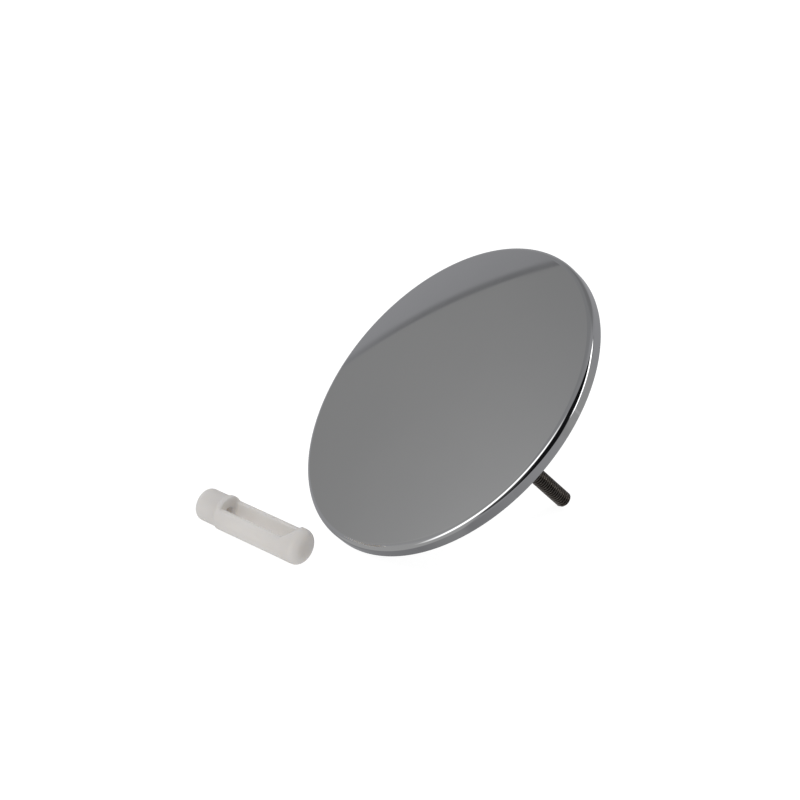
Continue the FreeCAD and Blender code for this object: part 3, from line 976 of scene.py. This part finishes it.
@dataclass
class Studio:
    """Grey studio that the chrome shows, white behind the object, and a pale floor; lengths in metres."""

    corner: float = 142.15
    bow: float = 0.0165
    bow_height: float = 23.45
    bow_most: float = 2.0
    line_soft: float = 0.62
    line_lap: float = 0.02
    line_sharp: float = 0.16
    line_depth: float = 0.385
    line_rise: Pair = (9.0, 23.0)
    near_rise: Pair = (3.0, 11.0)
    top_fade: Pair = (36.0, 46.0)
    wall_level: float = 0.362
    wall_tilt: float = 0.0045
    wall_even: Pair = (-70.0, -40.0)
    wall_dip: Pair = (-2.4, -0.5)
    dip_shares: Pair = (1.02, 0.975)
    wall_tint: Colour = (0.992, 0.995, 1.03)
    climb_reach: float = 8.0
    near_reach: float = 16.0
    near_level: float = 0.3268
    near_slope: float = 0.00255
    near_curve: float = 0.00036
    near_tilt: float = -0.002
    near_twist: float = 0.00051
    near_sag: float = -0.00026
    far_level: float = 0.43
    far_fade: Pair = (40.0, 80.0)
    low_share: float = 0.66
    low_fade: Pair = (-1.0, -0.25)
    fill: float = 0.35
    lamp_size: float = 0.5
    floor_glow: float = 0.62
    floor_shown: float = 0.93
    floor_colour: Colour = (0.30, 0.30, 0.30)
    floor_half: float = 4.0

    def cards(self) -> list[SoftCard]:
        """Shaded walls, dark flag with a paler patch, two grey stretches and the strip lamps on top."""
        return [
            SoftCard(118.0, 57.0, 0.0, 22.0, 34.0, 10.0, 14.0, (0.285, 0.287, 0.294)),
            SoftCard(73.3, 46.9, 0.0, 19.0, 19.1, 10.0, 8.0, (0.229, 0.23, 0.235)),
            SoftCard(-50.9, 26.4, 75.0, 61.2, 40.9, 25.8, 3.8, (0.01, 0.01, 0.011)),
            SoftCard(-92.0, -1.0, 75.0, 16.0, 20.0, 12.0, 14.0, (0.07, 0.07, 0.071)),
            SoftCard(-148.2, -45.0, 19.0, 36.0, 45.0, 12.0, 8.0, (0.46, 0.46, 0.46)),
            SoftCard(1.9, 1.1, -8.0, 22.0, 17.5, 8.0, 8.0, (0.4, 0.4, 0.4)),
            SoftCard(-117.2, 12.0, 19.5, 43.65, 10.1, 26.0, 11.3, (2.6, 2.6, 2.6)),
            SoftCard(0.84, 29.4, 22.6, 26.25, 7.75, 2.0, 1.5, (2.6, 2.6, 2.6)),
        ]

    def world(self, groups: Groups) -> None:
        """Paints the surroundings on the direction alone.

        The level is a plain grey with one upright corner line, bowed as the square of the height from its
        middle: dark, soft on one side and sharp on the other, past which the wall brightens slowly. The line
        fades out low down and high up. The cards lie over it. The camera sees plain white, and what is matt
        gets an even fill.
        """
        world = bpy.data.worlds.new("studio")
        bpy.context.scene.world = world
        world.use_nodes = True
        world.node_tree.nodes.clear()
        bench = Bench(world.node_tree)
        way = bench.node("ShaderNodeTexCoord").outputs["Generated"]
        split = bench.node("ShaderNodeSeparateXYZ", {0: way})
        angle = bench.sum("ARCTAN2", split.outputs["Y"], split.outputs["X"])
        angle = bench.sum("SUBTRACT", angle, math.radians(self.corner))
        angle = bench.sum("DEGREES", bench.sum("WRAP", angle, math.pi, -math.pi))
        height = bench.sum("DEGREES", bench.sum("ARCSINE", split.outputs["Z"]))
        off = bench.sum("SUBTRACT", height, self.bow_height)
        bow = bench.sum("MULTIPLY", bench.sum("MULTIPLY", off, off), self.bow)
        angle = bench.sum("SUBTRACT", angle, bench.sum("MINIMUM", bow, self.bow_most))
        high = bench.span(height, *self.top_fade, 1.0, 0.0)
        window = bench.sum("MULTIPLY", bench.span(height, *self.near_rise, 0.0, 1.0), high)
        drawn = bench.sum("MULTIPLY", bench.span(height, *self.line_rise, 0.0, 1.0), high)
        edge = bench.span(angle, 0.0, self.line_sharp, 0.0, 1.0)
        past = bench.sum("MULTIPLY", edge, window)
        fall = bench.span(angle, -self.line_soft, -self.line_lap, 0.0, 1.0)
        line = bench.sum("MULTIPLY", bench.sum("MULTIPLY", fall, drawn), bench.sum("SUBTRACT", 1.0, edge))
        climb = bench.sum("MINIMUM", bench.sum("MAXIMUM", off, -self.climb_reach), self.climb_reach)
        away = bench.sum("MINIMUM", bench.sum("MAXIMUM", angle, 0.0), self.near_reach)
        slope = bench.sum("MULTIPLY_ADD", away, self.near_curve, self.near_slope)
        rising = bench.sum("MULTIPLY_ADD", away, slope, self.near_level)
        tilt = bench.sum("MULTIPLY_ADD", away, self.near_twist, self.near_tilt)
        lean = bench.sum("MULTIPLY", climb, bench.sum("MULTIPLY_ADD", climb, self.near_sag, tilt))
        falling = bench.span(angle, *self.far_fade, self.far_level, self.wall_level)
        main_side = bench.sum("MINIMUM", bench.sum("ADD", rising, lean), falling)
        close = bench.span(angle, *self.wall_even, 0.0, -self.wall_tilt)
        other_side = bench.sum("MULTIPLY_ADD", climb, close, self.wall_level)
        dip = bench.span(angle, *self.wall_dip, *self.dip_shares)
        other_side = bench.sum("MULTIPLY", other_side, dip)
        level = bench.node("ShaderNodeMix", {0: past, 2: other_side, 3: main_side}).outputs[0]
        level = bench.sum("MULTIPLY", level, bench.span(line, 0.0, 1.0, 1.0, 1.0 - self.line_depth))
        low = bench.span(split.outputs["Z"], *self.low_fade, self.low_share, 1.0)
        level = bench.sum("MULTIPLY", level, low)
        tint = bench.blend(past, rgba(self.wall_tint), WHITE)
        scaled = bench.node("ShaderNodeVectorMath", {0: tint, "Scale": level}, operation="SCALE").outputs[0]
        for card in self.cards():
            centre, along, across = (line.tolist() for line in card.lines())
            feeds = {"Direction": way, "Centre": centre, "Along": along, "Across": across}
            sizes = {"Half length": card.half_length, "Half width": card.half_width,
                     "End softness": card.end_softness, "Side softness": card.side_softness}
            feeds |= {socket: math.tan(math.radians(size)) for socket, size in sizes.items()}
            mask = bench.node("ShaderNodeGroup", feeds, node_tree=groups.card).outputs["Mask"]
            scaled = bench.blend(mask, scaled, rgba(card.colour))
        light = bench.node("ShaderNodeBackground", {"Color": scaled, "Strength": 1.0}).outputs[0]
        white = bench.node("ShaderNodeBackground", {"Color": WHITE, "Strength": 1.0}).outputs[0]
        even = bench.node("ShaderNodeBackground", {"Color": WHITE, "Strength": self.fill}).outputs[0]
        path = bench.node("ShaderNodeLightPath").outputs
        seen = bench.sum("MAXIMUM", path["Is Camera Ray"], path["Is Transmission Ray"])
        around = bench.node("ShaderNodeMixShader", {0: path["Is Glossy Ray"], 1: even, 2: light}).outputs[0]
        shown = bench.node("ShaderNodeMixShader", {0: seen, 1: around, 2: white}).outputs[0]
        bench.node("ShaderNodeOutputWorld", {"Surface": shown})

    def lamps(self) -> None:
        """Hangs the soft lamps, a metre off, that light what is matt; the chrome shows the cards instead."""
        hung = (("key_lamp", -128.0, 46.0, 3.4), ("back_lamp", 70.0, 45.0, 2.0))
        for name, azimuth, elevation, watts in hung:
            data = bpy.data.lights.new(name, "AREA")
            data.shape, data.size, data.energy = "DISK", self.lamp_size, watts
            lamp = place_object(name, data)
            way = Vector(sky(azimuth, elevation).tolist())
            lamp.matrix_world = Matrix.Translation(way) @ way.to_track_quat("Z", "Y").to_matrix().to_4x4()
            lamp.visible_camera = lamp.visible_glossy = False

    def floor(self) -> None:
        """Lays the pale floor: it glows, keeps a faint shadow, isn't mirrored and is open from below."""
        h = self.floor_half
        mesh = bpy.data.meshes.new("floor")
        mesh.from_pydata([(-h, -h, 0.0), (h, -h, 0.0), (h, h, 0.0), (-h, h, 0.0)], [], [(0, 1, 2, 3)])
        floor = place_object("floor", mesh)
        floor.visible_glossy = False
        paint, bench = new_material("pale_floor")
        faint = bench.node("ShaderNodeBsdfDiffuse", {"Color": rgba(self.floor_colour)}).outputs[0]
        path = bench.node("ShaderNodeLightPath").outputs["Is Camera Ray"]
        glow = bench.span(path, 0.0, 1.0, self.floor_glow, self.floor_shown)
        shine = bench.node("ShaderNodeEmission", {"Color": WHITE, "Strength": glow}).outputs[0]
        shown = bench.node("ShaderNodeAddShader", {0: faint, 1: shine}).outputs[0]
        below = bench.node("ShaderNodeNewGeometry").outputs["Backfacing"]
        clear = bench.node("ShaderNodeBsdfTransparent").outputs[0]
        both = bench.node("ShaderNodeMixShader", {0: below, 1: shown, 2: clear}).outputs[0]
        bench.node("ShaderNodeOutputMaterial", {"Surface": both})
        mesh.materials.append(paint)


@dataclass
class PhotoCamera:
    """Camera fitted to the cap's outline, the stud and the stem in the photograph."""

    place: tuple[float, float, float] = (-0.162, -440.4035, 224.6458)
    ahead: tuple[float, float, float] = (0.0, 0.914, -0.4056)
    right: tuple[float, float, float] = (0.993, 0.048, 0.1082)
    lens: float = 96.336
    sensor: float = 36.0
    clip: Pair = (10.0, 20000.0)

    def build(self) -> None:
        """Sets the camera up; its frame is squared so that right stays square to ahead."""
        back = -np.array(self.ahead) / np.linalg.norm(self.ahead)
        right = np.array(self.right) - back * np.dot(back, self.right)
        right /= np.linalg.norm(right)
        data = bpy.data.cameras.new("photo_camera")
        data.lens, data.sensor_width = self.lens, self.sensor
        data.clip_start, data.clip_end = (MM * end for end in self.clip)
        camera = place_object("photo_camera", data)
        turned = np.eye(4)
        turned[:3, :3] = np.stack((right, np.cross(back, right), back), axis=1)
        turned[:3, 3] = np.array(self.place) * MM
        camera.matrix_world = Matrix(turned.tolist())
        bpy.context.scene.camera = camera


def main() -> None:
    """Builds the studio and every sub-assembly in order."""
    logging.basicConfig(level=logging.INFO, format="%(name)s %(message)s")
    bpy.context.scene.view_settings.view_transform = "Standard"
    groups = Groups()
    stopper = TurningAxis.of_joint("clamp_nut_turn", NUT_DEPTH)
    stem = TurningAxis.of_joint("eye_stem_turn", STEM_REACH)
    PhotoCamera().build()
    studio = Studio()
    studio.world(groups)
    studio.lamps()
    studio.floor()
    Cap(stopper).build(groups)
    ThreadedStud(stopper).build(groups)
    SealStack(stopper).build(groups)
    SealPlate(stopper).build(groups)
    ClampNut(stopper).build(groups)
    EyeStem(stem).build(groups)


if __name__ == "__main__":
    main()
